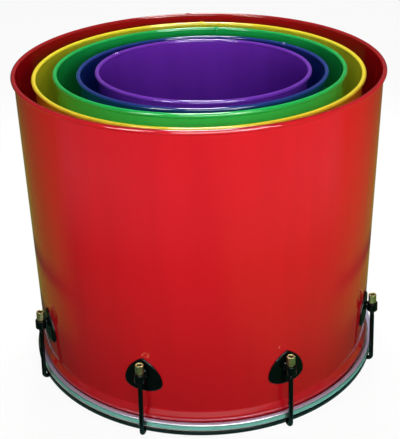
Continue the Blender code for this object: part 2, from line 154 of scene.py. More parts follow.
paper = bpy.data.materials.new("studio_paper")
paper.use_nodes = True
paper.node_tree.nodes.clear()
share = white_share(paper.node_tree, PAPER_SEEN, PAPER_MIRRORED)
eye = add(paper.node_tree, "ShaderNodeLightPath").outputs["Is Camera Ray"]
spot = add(paper.node_tree, "ShaderNodeTexCoord").outputs["Object"]
spot = add(paper.node_tree, "ShaderNodeVectorMath", {0: spot, 1: (0.0, TINTS_FORWARD, 0.0)}).outputs[0]
reach = add(paper.node_tree, "ShaderNodeVectorMath", {0: spot}, operation="LENGTH").outputs["Value"]
along = add(paper.node_tree, "ShaderNodeSeparateXYZ", {0: spot}).outputs
beside = add(paper.node_tree, "ShaderNodeMapRange", {0: along["Y"], 1: SIDES_FROM[0], 2: SIDES_FROM[1]}).outputs[0]
rightward = add(paper.node_tree, "ShaderNodeMapRange", {0: along["X"], 1: RIGHT_FROM[0], 2: RIGHT_FROM[1]}).outputs[0]
front = add(paper.node_tree, "ShaderNodeMix", {0: rightward, 6: painted_reflection_ramp(PAINTED_REFLECTION_AHEAD), 7: painted_reflection_ramp(PAINTED_REFLECTION_RIGHTWARD)},
            data_type="RGBA").outputs[2]
sides = painted_reflection_ramp(PAINTED_REFLECTION_SIDES)
bands = add(paper.node_tree, "ShaderNodeMix", {0: beside, 6: front, 7: sides}, data_type="RGBA").outputs[2]
# the camera sees the plain paper colour, and every other ray sees the painted reflection bands
tint = add(paper.node_tree, "ShaderNodeMix", {0: eye, 6: bands, 7: linear(PAPER)}, data_type="RGBA").outputs[2]
matt = add(paper.node_tree, "ShaderNodeBsdfDiffuse", {"Color": tint}).outputs[0]
glow = add(paper.node_tree, "ShaderNodeEmission", {"Strength": 1.0}).outputs[0]
mixed = add(paper.node_tree, "ShaderNodeMixShader", {0: share, 1: matt, 2: glow}).outputs[0]
add(paper.node_tree, "ShaderNodeOutputMaterial", {0: mixed})

sheet = bpy.data.meshes.new("paper_floor")
half = FLOOR_SPAN / 2
sheet.from_pydata([(-half, -half, 0.0), (half, -half, 0.0), (half, half, 0.0), (-half, half, 0.0)],
                  [], [(0, 1, 2, 3)])
sheet.materials.append(paper)
floor = bpy.data.objects.new("paper_floor", sheet)
bpy.context.scene.collection.objects.link(floor)

world = bpy.data.worlds.new("pale_room")
world.use_nodes = True
world.node_tree.nodes.clear()
bpy.context.scene.world = world
share = white_share(world.node_tree, ROOM_SEEN, ROOM_MIRRORED)
room = add(world.node_tree, "ShaderNodeBackground",
           {"Color": linear(ROOM), "Strength": ROOM_STRENGTH}).outputs[0]
white = add(world.node_tree, "ShaderNodeBackground", {"Strength": 1.0}).outputs[0]
white.node.inputs["Color"].default_value = (1.0, 1.0, 1.0, 1.0)
mixed = add(world.node_tree, "ShaderNodeMixShader", {0: share, 1: room, 2: white}).outputs[0]
add(world.node_tree, "ShaderNodeOutputWorld", {0: mixed})

for name, at, size, watts, spread in SOFTBOXES + tuple((*s, STREAK_SIZE, STREAK_WATTS, 120.0) for s in STREAKS):
    lamp = bpy.data.lights.new(name, "AREA")
    lamp.shape = "RECTANGLE"
    lamp.size, lamp.size_y = size
    lamp.energy = watts
    lamp.spread = math.radians(spread)
    box = bpy.data.objects.new(name, lamp)
    bpy.context.scene.collection.objects.link(box)
    box.location = at
    box.rotation_euler = (AIM - Vector(at)).to_track_quat("-Z", "Y").to_euler()
    box.visible_diffuse = not name.startswith("strip")
    box.visible_glossy = name not in ("back", "behind", "left", "right")

# red shell
# Outer drum's shell: 1.2 mm steel sheet rolled to 18 inches, its open edge curled outwards to a
# round bead, a bulge pressed round it above the head hoops, sprayed with gloss red enamel.
ENAMEL = {"red": ("AB0F18", "A60E17"), "yellow": ("FEE537", "FBE030"), "green": ("20BE57", "1CB853"),
          "blue": ("203C8F", "1D3889"), "purple": ("7833BC", "7330B5")}
WALL_T = 0.0012
BEAD_R = 0.00288
BEAD_SHIFT = 0.0008       # bead's centre outside the wall's outer face
BEAD_POINTS = 22
BASE_Z = 0.0008           # wall's lower edge, on the head film
RED_R = 0.2286
RED_RIM_Z = 0.40285
BULGE = ((0.0, 0.0390, 0.0), (0.0, 0.0362, 0.0018), (0.0038, 0.0281, 0.0012), (0.0038, 0.0232, 0.0009),
         (0.0, 0.0232, 0.0))     # corners of the pressed bulge: reach, height and how far each is softened
TURN_STEPS = 224


def sprayed_enamel(name, bright, deep):
    """Stoved gloss enamel on steel: an even colour with faint clouds under a clear hard skin,
    whose slight orange peel makes the softboxes' streaks waver."""
    mat = bpy.data.materials.new(name)
    mat.use_nodes = True
    tree = mat.node_tree
    shader = tree.nodes["Principled BSDF"]
    spot = add(tree, "ShaderNodeTexCoord").outputs["Object"]
    upright = add(tree, "ShaderNodeMapping", {"Vector": spot, "Scale": (1.0, 1.0, 0.08)}).outputs[0]
    clouds = add(tree, "ShaderNodeTexNoise", {"Vector": upright, "Scale": 1 / 0.022, "Detail": 2.0}).outputs[0]
    depth = add(tree, "ShaderNodeMapRange", {0: clouds, 1: 0.35, 2: 0.65}).outputs[0]
    colour = add(tree, "ShaderNodeMix", {0: depth, 6: linear(bright), 7: linear(deep)},
                 data_type="RGBA").outputs[2]
    peel = add(tree, "ShaderNodeTexNoise", {"Vector": spot, "Scale": 1 / 0.0035, "Detail": 1.0}).outputs[0]
    skin = add(tree, "ShaderNodeBump", {"Height": peel, "Strength": 1.0, "Distance": 0.000014}).outputs[0]
    haze = add(tree, "ShaderNodeMapRange", {0: clouds, 1: 0.3, 2: 0.7, 3: 0.30, 4: 0.42}).outputs[0]
    tree.links.new(colour, shader.inputs["Base Color"])
    tree.links.new(haze, shader.inputs["Roughness"])
    tree.links.new(skin, shader.inputs["Normal"])
    tree.links.new(skin, shader.inputs["Coat Normal"])
    shader.inputs["Specular IOR Level"].default_value = 0.0
    shader.inputs["Coat Weight"].default_value = 1.0
    shader.inputs["Coat IOR"].default_value = 1.7
    shader.inputs["Coat Roughness"].default_value = 0.04
    return mat


def arc(centre, radius, start, end, count):
    """Points of a circle in the (radius, height) plane, angles in degrees."""
    turns = [math.radians(start + (end - start) * i / (count - 1)) for i in range(count)]
    return [(centre[0] + radius * math.cos(a), centre[1] + radius * math.sin(a)) for a in turns]


def softened(corners, count=7):
    """A line through corners (x, y, reach) with each corner rounded over its reach."""
    line = [corners[0][:2]]
    for before, here, after in zip(corners, corners[1:], corners[2:]):
        middle = Vector(here[:2])
        start = middle + (Vector(before[:2]) - middle).normalized() * here[2]
        end = middle + (Vector(after[:2]) - middle).normalized() * here[2]
        for i in range(count):
            t = i / (count - 1)
            line.append(tuple(start * (1 - t) ** 2 + middle * 2 * t * (1 - t) + end * t * t))
    return line + [corners[-1][:2]]


def shell_section(wall_r, rim_z, bulge):
    """Outer side from the bead down, then the inner side up, as (radius, height)."""
    bead = (wall_r + BEAD_SHIFT, rim_z)
    inner_r = wall_r - WALL_T
    outside = math.degrees(math.acos(BEAD_SHIFT / BEAD_R))
    inside = math.degrees(math.acos((BEAD_SHIFT + WALL_T) / BEAD_R))
    line = arc(bead, BEAD_R, 180.0 - 2.0, -180.0 + outside, BEAD_POINTS)
    line += [(wall_r, rim_z - 0.02 * i) for i in range(1, 4)]
    line += [(wall_r + out, z) for out, z in bulge]
    line += [(wall_r, BASE_Z + 0.0002), (wall_r - 0.0003, BASE_Z), (inner_r, BASE_Z)]
    line += [(inner_r + out, z) for out, z in reversed(bulge)]
    line += [(inner_r, rim_z - 0.02 * i) for i in range(3, 0, -1)]
    line += arc(bead, BEAD_R, 180.0 + inside, 180.0 + 6.0, 5)
    return line


def turning_tree():
    """Geometry nodes that turn a section, drawn flat in XY beside a circle's line, about Z."""
    tree = bpy.data.node_groups.new("turned_section", "GeometryNodeTree")
    for name, kind in (("Section", "Geometry"), ("Steps", "Int"), ("Circle Radius", "Float"),
                       ("Weld", "Float"), ("Finish", "Material")):
        tree.interface.new_socket(name, in_out="INPUT", socket_type="NodeSocket" + kind)
    tree.interface.new_socket("Turned", in_out="OUTPUT", socket_type="NodeSocketGeometry")
    given = add(tree, "NodeGroupInput").outputs
    section = add(tree, "GeometryNodeMeshToCurve", {0: given["Section"]}).outputs[0]
    ring = add(tree, "GeometryNodeCurvePrimitiveCircle",
               {"Resolution": given["Steps"], "Radius": given["Circle Radius"]}).outputs[0]
    ring = add(tree, "GeometryNodeSetCurveNormal", {"Curve": ring}).outputs[0]
    for key in ("mode",):
        if hasattr(ring.node, key):
            setattr(ring.node, key, "Z_UP")
    skin = add(tree, "GeometryNodeCurveToMesh", {"Curve": ring, "Profile Curve": section}).outputs[0]
    skin = add(tree, "GeometryNodeMergeByDistance", {"Geometry": skin, "Distance": given["Weld"]}).outputs[0]
    skin = add(tree, "GeometryNodeRealizeInstances", {0: skin}).outputs[0]
    skin = add(tree, "GeometryNodeSetMaterial", {"Geometry": skin, "Material": given["Finish"]}).outputs[0]
    add(tree, "NodeGroupOutput", {0: skin})
    return tree


def worked(mesh, tree, values, crease=38.0):
    """Runs a node tree on a rough mesh and gives the finished mesh, welded and facing outwards."""
    rough = bpy.data.objects.new("rough", mesh)
    bpy.context.scene.collection.objects.link(rough)
    step = rough.modifiers.new("nodes", "NODES")
    step.node_group = tree
    for item in tree.interface.items_tree:
        if item.in_out == "INPUT" and item.name in values:
            step[item.identifier] = values[item.name]
    bpy.context.view_layer.update()
    graph = bpy.context.evaluated_depsgraph_get()
    made = bpy.data.meshes.new_from_object(rough.evaluated_get(graph))
    rough.modifiers.remove(step)
    bpy.data.objects.remove(rough)
    return outward(made, crease)


def outward(mesh, crease=38.0):
    """Merges doubles, points the faces outwards and smooths all but the sharp edges."""
    bm = bmesh.new()
    bm.from_mesh(mesh)
    bmesh.ops.remove_doubles(bm, verts=bm.verts, dist=0.000001)
    bmesh.ops.recalc_face_normals(bm, faces=bm.faces)
    bm.to_mesh(mesh)
    bm.free()
    mesh.polygons.foreach_set("use_smooth", [True] * len(mesh.polygons))
    mesh.set_sharp_from_angle(angle=math.radians(crease))
    return mesh


def turned(name, section, finish, steps=TURN_STEPS, closed=True, crease=38.0):
    """A section of (radius, height) points turned about Z and given its finish."""
    base_r = max(r for r, z in section)
    count = len(section)
    mesh = bpy.data.meshes.new(name)
    mesh.from_pydata([(r - base_r, -z, 0.0) for r, z in section],
                     [(i, (i + 1) % count) for i in range(count if closed else count - 1)], [])
    made = worked(mesh, turning_nodes, {"Steps": steps, "Circle Radius": base_r, "Weld": 0.000005,
                                        "Finish": finish}, crease)
    made.name = name
    return made


def fitted(name, mesh, body, slot, *nodes):
    """Links a finished mesh as a piece that rides on a body and stands for CAD nodes."""
    piece = bpy.data.objects.new(name, mesh)
    bpy.context.scene.collection.objects.link(piece)
    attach(piece, body)
    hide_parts(*nodes)
    return piece


turning_nodes = turning_tree()
enamels = {colour: sprayed_enamel("sprayed_enamel_" + colour, *codes) for colour, codes in ENAMEL.items()}
fitted("red_shell_turned", turned("red_shell_turned", shell_section(RED_R, RED_RIM_Z, softened(BULGE)),
                                  enamels["red"]), "red_drum", "red_enamel", "red_shell")

# red head
# Playing head: one sheet of matt polyester film, pressed up round the shell to a collar whose edge
# is nipped between the flesh hoop and the counterhoop. Hidden here, since the drum stands on it.
FILM_T = 0.0005
AIR = 0.0003              # air between pieces that touch in the real drum
FILM_BEND = 0.0012


def polyester_film():
    """Coated polyester film: milky, faintly uneven, with a dull sheen from its sprayed coat."""
    mat = bpy.data.materials.new("coated_polyester_film")
    mat.use_nodes = True
    tree = mat.node_tree
    shader = tree.nodes["Principled BSDF"]
    spot = add(tree, "ShaderNodeTexCoord").outputs["Object"]
    grain = add(tree, "ShaderNodeTexNoise", {"Vector": spot, "Scale": 1 / 0.0012, "Detail": 2.0}).outputs[0]
    haze = add(tree, "ShaderNodeTexNoise", {"Vector": spot, "Scale": 1 / 0.06, "Detail": 3.0}).outputs[0]
    colour = add(tree, "ShaderNodeMix", {0: haze, 6: linear("CFCCBE"), 7: linear("C0BCAD")},
                 data_type="RGBA").outputs[2]
    tooth = add(tree, "ShaderNodeBump", {"Height": grain, "Strength": 1.0, "Distance": 0.00002}).outputs[0]
    tree.links.new(colour, shader.inputs["Base Color"])
    tree.links.new(tooth, shader.inputs["Normal"])
    shader.inputs["Roughness"].default_value = 0.45
    shader.inputs["Subsurface Weight"].default_value = 0.15
    shader.inputs["Subsurface Radius"].default_value = (0.002, 0.002, 0.002)
    return mat


def head_section(wall_r, edge_z, edge_r):
    """Film from the middle of its upper face out, up the collar, round the edge and back below."""
    inner = wall_r + AIR
    outer = inner + FILM_T
    top = edge_z + FILM_T
    upper = [(inner * share, FILM_T) for share in (0.0, 0.25, 0.5, 0.75, 0.93, 1.0)]
    collar = [(inner, top), (edge_r, top), (edge_r, edge_z), (outer, edge_z)]
    low = arc((outer - FILM_BEND, FILM_BEND), FILM_BEND, 0.0, -90.0, 7)
    under = [((outer - FILM_BEND) * share, 0.0) for share in (0.93, 0.75, 0.5, 0.25, 0.0)]
    return upper + collar + low + under


film = polyester_film()
RED_FILM_Z = 0.0128
RED_HOOP_R = 0.2400
FILM_EDGE_IN = 0.0016
fitted("red_head_film", turned("red_head_film", head_section(RED_R, RED_FILM_Z, RED_HOOP_R - FILM_EDGE_IN),
                               film, closed=False), "red_drum", "head_film", "red_head")

# red flesh hoop
# Flesh hoop: a flat aluminium bar bent to a ring, its ends butted and welded, turned and polished
# on its top and outer face. It stands just under the bulge and shows as the silver ring.
FLESH_BORE_OUT = 0.0014   # an inner drum's ring: its bore outside the shell's wall
RED_FLESH_R = (0.2334, 0.2390)
RED_FLESH_Z = (0.0131, 0.0218)
RED_FLESH_SHIFT = 0.0010  # it hangs this much to the right on the shell
FLESH_ROUND = 0.0015


def turned_aluminium():
    """Turned aluminium: the outer face polished bright, with turning lines drawn 0.9 mm wide where
    real ones are 0.1 mm so that they show; the top face matt, tinted pale lilac as a painted
    reflection of bluish light from above."""
    mat = bpy.data.materials.new("turned_aluminium_ring")
    mat.use_nodes = True
    tree = mat.node_tree
    shader = tree.nodes["Principled BSDF"]
    spot = add(tree, "ShaderNodeTexCoord").outputs["Object"]
    axes = add(tree, "ShaderNodeSeparateXYZ", {0: spot}).outputs
    flat = add(tree, "ShaderNodeCombineXYZ", {0: axes[0], 1: axes[1]}).outputs[0]
    reach = add(tree, "ShaderNodeVectorMath", {0: flat}, operation="LENGTH").outputs["Value"]
    turn = add(tree, "ShaderNodeMath", {0: axes[0], 1: axes[1]}, operation="ARCTAN2").outputs[0]
    slow = add(tree, "ShaderNodeMath", {0: turn, 1: 0.002}, operation="MULTIPLY").outputs[0]
    along = add(tree, "ShaderNodeCombineXYZ", {0: reach, 1: slow, 2: axes[2]}).outputs[0]
    lines = add(tree, "ShaderNodeTexNoise", {"Vector": along, "Scale": 1 / 0.0009, "Detail": 1.0}).outputs[0]
    bloom = add(tree, "ShaderNodeTexNoise", {"Vector": spot, "Scale": 1 / 0.02, "Detail": 3.0}).outputs[0]
    facing = add(tree, "ShaderNodeNewGeometry").outputs["Normal"]
    facing = add(tree, "ShaderNodeSeparateXYZ", {0: facing}).outputs["Z"]
    matt = add(tree, "ShaderNodeMapRange", {0: facing, 1: 0.65, 2: 0.97}).outputs[0]
    colour = add(tree, "ShaderNodeMix", {0: bloom, 6: linear("E6EEEC"), 7: linear("D2DEDB")},
                 data_type="RGBA").outputs[2]
    # painted reflection: faces turned up take a pale lilac colour for bluish light from above
    colour = add(tree, "ShaderNodeMix", {0: matt, 6: colour, 7: linear("DCDCFA")}, data_type="RGBA").outputs[2]
    metal = add(tree, "ShaderNodeMapRange", {0: matt, 3: 1.0, 4: 0.70}).outputs[0]
    rough = add(tree, "ShaderNodeMapRange", {0: lines, 1: 0.3, 2: 0.7, 3: 0.28, 4: 0.36}).outputs[0]
    rough = add(tree, "ShaderNodeMath", {0: matt, 1: 0.08, 2: rough}, operation="MULTIPLY_ADD").outputs[0]
    relief = add(tree, "ShaderNodeBump", {"Height": lines, "Strength": 1.0, "Distance": 0.000004}).outputs[0]
    tree.links.new(colour, shader.inputs["Base Color"])
    tree.links.new(metal, shader.inputs["Metallic"])
    tree.links.new(rough, shader.inputs["Roughness"])
    tree.links.new(relief, shader.inputs["Normal"])
    return mat


def flesh_section(bore, outer, low, high, rounding=FLESH_ROUND):
    """Square bar with its two outer edges well rounded and its inner edges just broken."""
    line = arc((outer - rounding, high - rounding), rounding, 90.0, 0.0, 7)
    line += arc((outer - rounding, low + rounding), rounding, 0.0, -90.0, 7)
    line += arc((bore + 0.0002, low + 0.0002), 0.0002, -90.0, -180.0, 3)
    return line + arc((bore + 0.0002, high - 0.0002), 0.0002, 180.0, 90.0, 3)


aluminium = turned_aluminium()
ring = turned("red_flesh_hoop_ring", flesh_section(*RED_FLESH_R, *RED_FLESH_Z), aluminium)
ring.transform(Matrix.Translation((RED_FLESH_SHIFT, 0.0, 0.0)))
fitted("red_flesh_hoop_ring", ring, "red_drum", "polished_aluminium", "red_flesh_hoop")

# red counterhoop
# Counterhoop: a steel band with its top edge turned inwards over the film, black lacquered. The
# hooks pull it towards the open end, which presses the film's edge on the flesh hoop above it.
BAND_T = 0.0018
FLANGE_T = 0.0012
FLANGE_IN = 0.0018        # flange's inner edge outside the shell's wall
RED_BAND_Z = 0.0070
RED_FLANGE_Z = 0.0113
BAND_ROUND = 0.0006


def black_lacquer():
    """Black stoved lacquer on pressed steel: near black with a green cast, high gloss, and the
    soft unevenness of a dipped coat."""
    mat = bpy.data.materials.new("black_stoved_lacquer")
    mat.use_nodes = True
    tree = mat.node_tree
    shader = tree.nodes["Principled BSDF"]
    spot = add(tree, "ShaderNodeTexCoord").outputs["Object"]
    flow = add(tree, "ShaderNodeTexNoise", {"Vector": spot, "Scale": 1 / 0.006, "Detail": 2.0}).outputs[0]
    peel = add(tree, "ShaderNodeTexNoise", {"Vector": spot, "Scale": 1 / 0.0016, "Detail": 1.0}).outputs[0]
    colour = add(tree, "ShaderNodeMix", {0: flow, 6: linear("020605"), 7: linear("050B09")},
                 data_type="RGBA").outputs[2]
    rough = add(tree, "ShaderNodeMapRange", {0: flow, 1: 0.3, 2: 0.7, 3: 0.4, 4: 0.5}).outputs[0]
    skin = add(tree, "ShaderNodeBump", {"Height": peel, "Strength": 1.0, "Distance": 0.000012}).outputs[0]
    tree.links.new(colour, shader.inputs["Base Color"])
    tree.links.new(rough, shader.inputs["Roughness"])
    tree.links.new(skin, shader.inputs["Normal"])
    tree.links.new(skin, shader.inputs["Coat Normal"])
    shader.inputs["Specular IOR Level"].default_value = 0.0
    shader.inputs["Coat Weight"].default_value = 0.6
    shader.inputs["Coat Roughness"].default_value = 0.07
    return mat


def counterhoop_section(outer, low, flange_in, flange_z):
    """Upright band with an inward flange level with its top, bent round a small radius."""
    top = flange_z + FLANGE_T
    inner = outer - BAND_T
    line = arc((outer - BAND_ROUND, top - BAND_ROUND), BAND_ROUND, 90.0, 0.0, 6)
    line += arc((outer - BAND_T / 3, low + BAND_T / 3), BAND_T / 3, 0.0, -90.0, 5)
    line += arc((inner + BAND_T / 3, low + BAND_T / 3), BAND_T / 3, -90.0, -180.0, 5)
    line += [(inner, flange_z), (flange_in + 0.0003, flange_z), (flange_in, flange_z + 0.0003)]
    return line + [(flange_in, top - 0.0003), (flange_in + 0.0003, top)]


lacquer = black_lacquer()
fitted("red_counterhoop_band", turned("red_counterhoop_band",
                                      counterhoop_section(RED_HOOP_R, RED_BAND_Z, RED_R + FLANGE_IN,
                                                          RED_FLANGE_Z), lacquer),
       "red_drum", "black_lacquer", "red_counterhoop")

# red lugs
# Eight lugs: a steel plate shaped like a plectrum, point up and domed, bolted through the shell
# from inside, with a short neck to an upright bush that the hook runs in. Black lacquered.
RED_LUGS = 8
FIRST_LUG = math.radians(-64.3)   # from the camera side towards +X
NUT_R = 0.2395            # rod's axis at the nut's lower face
NUT_Z = 0.0941
ROD_LEAN = math.atan2(0.0043, 0.0864)
BUSH_R = 0.0070
BUSH_H = 0.0118
HOLE_R = 0.0032
NECK_W = 0.0080
NECK_H = 0.0099
PLATE = {"wide": 0.0490, "up": 0.0216, "down": 0.0269, "widest": 0.0134, "thick": 0.0022}
PLATE_BACK_R = 0.2290
TIP_SHARE = 0.17
TIP_FALL = 0.45
SIDE_SHARE = 0.24
DOME = ((1.0, 0.0), (1.0, 0.30), (0.992, 0.55), (0.970, 0.74), (0.935, 0.86), (0.80, 0.93), (0.5, 0.98),
        (0.22, 1.0))      # shares of the plate's outline and thickness, from its back edge to its middle


def bezier(a, b, c, d, count):
    """Points of a cubic curve, its last one left to the next curve."""
    points = []
    for i in range(count):
        t = i / count
        points.append(Vector(a) * (1 - t) ** 3 + Vector(b) * 3 * t * (1 - t) ** 2
                      + Vector(c) * 3 * t * t * (1 - t) + Vector(d) * t ** 3)
    return points


def domed_plate(bm, back_r, middle_z, size, detail=20):
    """A plate shaped like a plectrum, point up, wrapped round the shell towards +X."""
    half_w, up, widest = size["wide"] / 2, size["up"], size["widest"]
    pull = (4 * size["down"] - widest) / 3
    tip, side = TIP_SHARE * size["wide"], SIDE_SHARE * up
    shoulder = up - TIP_FALL * tip
    line = bezier((0, up), (tip, shoulder), (half_w, side), (half_w, -widest), detail)
    line += bezier((half_w, -widest), (half_w, -pull), (-half_w, -pull), (-half_w, -widest), detail)
    line += bezier((-half_w, -widest), (-half_w, side), (-tip, shoulder), (0, up), detail)
    centre = Vector((0.0, -0.2 * size["down"]))

    def wrapped(point, out):
        angle = point.x / back_r
        radius = back_r + out
        return bm.verts.new((radius * math.cos(angle), radius * math.sin(angle), middle_z + point.y))

    rings = [[wrapped(centre + (p - centre) * share, out * size["thick"]) for p in line]
             for share, out in DOME]
    count = len(line)
    for one, two in zip(rings, rings[1:]):
        for i in range(count):
            bm.faces.new((one[i], one[(i + 1) % count], two[(i + 1) % count], two[i]))
    crown = wrapped(centre, size["thick"])
    back = wrapped(centre, 0.0)
    for i in range(count):
        bm.faces.new((rings[-1][i], rings[-1][(i + 1) % count], crown))
        bm.faces.new((rings[0][(i + 1) % count], rings[0][i], back))


def neck(bm, start_x, end_x, middle_z, wide, high, corner=0.0028, flare=1.45, flare_long=0.0028):
    """A rounded bar along +X that spreads where it meets the plate."""
    rings = []
    for k in range(10):
        x = start_x + (end_x - start_x) * k / 9
        grow = 1.0 + (flare - 1.0) * max(0.0, 1.0 - (x - start_x) / flare_long) ** 2
        ring = []
        for quarter, (sy, sz) in enumerate(((1, 1), (-1, 1), (-1, -1), (1, -1))):
            for j in range(5):
                a = math.radians(90 * quarter + 22.5 * j)
                y = sy * (wide * grow / 2 - corner) + corner * math.cos(a)
                z = sz * (high * grow / 2 - corner) + corner * math.sin(a)
                ring.append(bm.verts.new((x, y, middle_z + z)))
        rings.append(ring)
    for one, two in zip(rings, rings[1:]):
        for i in range(len(one)):
            bm.faces.new((one[i], one[(i + 1) % len(one)], two[(i + 1) % len(one)], two[i]))
    bm.faces.new(list(reversed(rings[0])))
    bm.faces.new(rings[-1])


def lathed(bm, section, matrix, steps=40):
    """A closed section of (radius, height) turned about Z, then moved by the matrix."""
    rings = []
    for k in range(steps):
        a = math.tau * k / steps
        rings.append([bm.verts.new(matrix @ Vector((r * math.cos(a), r * math.sin(a), z))) for r, z in section])
    for k, one in enumerate(rings):
        two = rings[(k + 1) % steps]
        for i in range(len(one)):
            bm.faces.new((one[i], one[(i + 1) % len(one)], two[(i + 1) % len(one)], two[i]))


def bush_section(radius, bore, low, high, edge=0.0007):
    """Upright bush with rounded outer edges and a small countersink at both ends of its bore."""
    line = arc((radius - edge, high - edge), edge, 90.0, 0.0, 4) + [(radius, (low + high) / 2)]
    line += arc((radius - edge, low + edge), edge, 0.0, -90.0, 4)
    return line + [(bore + 0.0004, low), (bore, low + 0.0004), (bore, high - 0.0004), (bore + 0.0004, high)]


def copies_tree():
    """Geometry nodes that set copies of a fitting, made along +X, round the shell."""
    tree = bpy.data.node_groups.new("fittings_round_shell", "GeometryNodeTree")
    for name, kind in (("Fitting", "Geometry"), ("Count", "Int"), ("First Turn", "Float"),
                       ("Finish", "Material")):
        tree.interface.new_socket(name, in_out="INPUT", socket_type="NodeSocket" + kind)
    tree.interface.new_socket("Fittings", in_out="OUTPUT", socket_type="NodeSocketGeometry")
    given = add(tree, "NodeGroupInput").outputs
    spots = add(tree, "GeometryNodePoints", {"Count": given["Count"]}).outputs[0]
    step = add(tree, "ShaderNodeMath", {0: math.tau, 1: given["Count"]}, operation="DIVIDE").outputs[0]
    index = add(tree, "GeometryNodeInputIndex").outputs[0]
    turn = add(tree, "ShaderNodeMath", {0: index, 1: step, 2: given["First Turn"]},
               operation="MULTIPLY_ADD").outputs[0]
    euler = add(tree, "ShaderNodeCombineXYZ", {2: turn}).outputs[0]
    turned_by = add(tree, "FunctionNodeEulerToRotation", {0: euler}).outputs[0]
    ring = add(tree, "GeometryNodeInstanceOnPoints",
               {"Points": spots, "Instance": given["Fitting"], "Rotation": turned_by}).outputs[0]
    ring = add(tree, "GeometryNodeRealizeInstances", {0: ring}).outputs[0]
    ring = add(tree, "GeometryNodeSetMaterial", {"Geometry": ring, "Material": given["Finish"]}).outputs[0]
    add(tree, "NodeGroupOutput", {0: ring})
    return tree


def meshed(name, bm):
    mesh = bpy.data.meshes.new(name)
    bm.to_mesh(mesh)
    bm.free()
    return mesh


copies_nodes = copies_tree()
bush_middle = -AIR - BUSH_H / 2
lean_turn = Matrix.Translation((NUT_R, 0.0, NUT_Z)) @ Matrix.Rotation(-ROD_LEAN, 4, "Y")
bm = bmesh.new()
domed_plate(bm, PLATE_BACK_R, NUT_Z + bush_middle, PLATE)
neck(bm, PLATE_BACK_R + PLATE["thick"] * 0.7, NUT_R - HOLE_R - 0.0009, NUT_Z + bush_middle, NECK_W, NECK_H)
lathed(bm, bush_section(BUSH_R, HOLE_R, -AIR - BUSH_H, -AIR), lean_turn)
lugs = worked(meshed("red_lug", bm), copies_nodes,
              {"Count": RED_LUGS, "First Turn": FIRST_LUG - math.pi / 2, "Finish": lacquer}, crease=48.0)
lugs.name = "red_lugs_pressed"
fitted("red_lugs_pressed", lugs, "red_drum", "black_lacquer", *["red_lug_%d" % (i + 1) for i in range(RED_LUGS)])

# red tension hooks
# Eight tension hooks: 6 mm steel rod bent to a J, lacquered black, with a thread rolled on its
# upper third. The bend lies under the counterhoop and the thread runs up through lug and nut.
ROD_R = 0.0030
THREAD_DEPTH = 0.00035
THREAD_PITCH = 0.0010
THREAD_LONG = 0.0300      # from just under the nut's top down
ROD_TOP = 0.0105          # above the nut's lower face
BEND_R = 0.0045
BEND_AT = (0.2438 - NUT_R - BEND_R, 0.0077 - NUT_Z)
TIP_RISE = 0.0030


def thread_tree():
    """Geometry nodes that wind a thread's ridge round the top of a rod."""
    tree = bpy.data.node_groups.new("rolled_thread", "GeometryNodeTree")
    for name, kind in (("Rod", "Geometry"), ("Core Radius", "Float"), ("Depth", "Float"), ("Turns", "Float"),
                       ("Length", "Float"), ("Top", "Vector"), ("Lean", "Float"), ("Finish", "Material")):
        tree.interface.new_socket(name, in_out="INPUT", socket_type="NodeSocket" + kind)
    tree.interface.new_socket("Threaded Rod", in_out="OUTPUT", socket_type="NodeSocketGeometry")
    given = add(tree, "NodeGroupInput").outputs
    helix = add(tree, "GeometryNodeCurveSpiral",
                {"Resolution": 14, "Rotations": given["Turns"], "Start Radius": given["Core Radius"],
                 "End Radius": given["Core Radius"], "Height": given["Length"]}).outputs[0]
    ridge = add(tree, "GeometryNodeCurvePrimitiveCircle", {"Resolution": 4, "Radius": given["Depth"]}).outputs[0]
    wound = add(tree, "GeometryNodeCurveToMesh",
                {"Curve": helix, "Profile Curve": ridge, "Fill Caps": True}).outputs[0]
    drop = add(tree, "ShaderNodeMath", {0: given["Length"], 1: -1.0}, operation="MULTIPLY").outputs[0]
    down = add(tree, "ShaderNodeCombineXYZ", {2: drop}).outputs[0]
    wound = add(tree, "GeometryNodeTransform", {"Geometry": wound, "Translation": down}).outputs[0]
    euler = add(tree, "ShaderNodeCombineXYZ", {1: given["Lean"]}).outputs[0]
    wound = add(tree, "GeometryNodeTransform",
                {"Geometry": wound, "Translation": given["Top"], "Rotation": euler}).outputs[0]
    both = add(tree, "GeometryNodeJoinGeometry", {0: given["Rod"]}).outputs[0]
    tree.links.new(wound, both.node.inputs[0])
    both = add(tree, "GeometryNodeRealizeInstances", {0: both}).outputs[0]
    both = add(tree, "GeometryNodeSetMaterial", {"Geometry": both, "Material": given["Finish"]}).outputs[0]
    add(tree, "NodeGroupOutput", {0: both})
    return tree


def bent_rod(points, radii, sides=18):
    """A round rod along points in the XZ plane, with its own radius at each of them."""
    bm = bmesh.new()
    rings = []
    for i, (x, z) in enumerate(points):
        before, after = points[max(0, i - 1)], points[min(len(points) - 1, i + 1)]
        along = Vector((after[0] - before[0], 0.0, after[1] - before[1])).normalized()
        across = Vector((0.0, 1.0, 0.0))
        side = along.cross(across)
        rings.append([bm.verts.new(Vector((x, 0.0, z)) + radii[i] * (side * math.cos(math.tau * k / sides)
                                                                    + across * math.sin(math.tau * k / sides)))
                      for k in range(sides)])
    for one, two in zip(rings, rings[1:]):
        for k in range(sides):
            bm.faces.new((one[k], one[(k + 1) % sides], two[(k + 1) % sides], two[k]))
    bm.faces.new(list(reversed(rings[0])))
    bm.faces.new(rings[-1])
    return meshed("rod", bm)


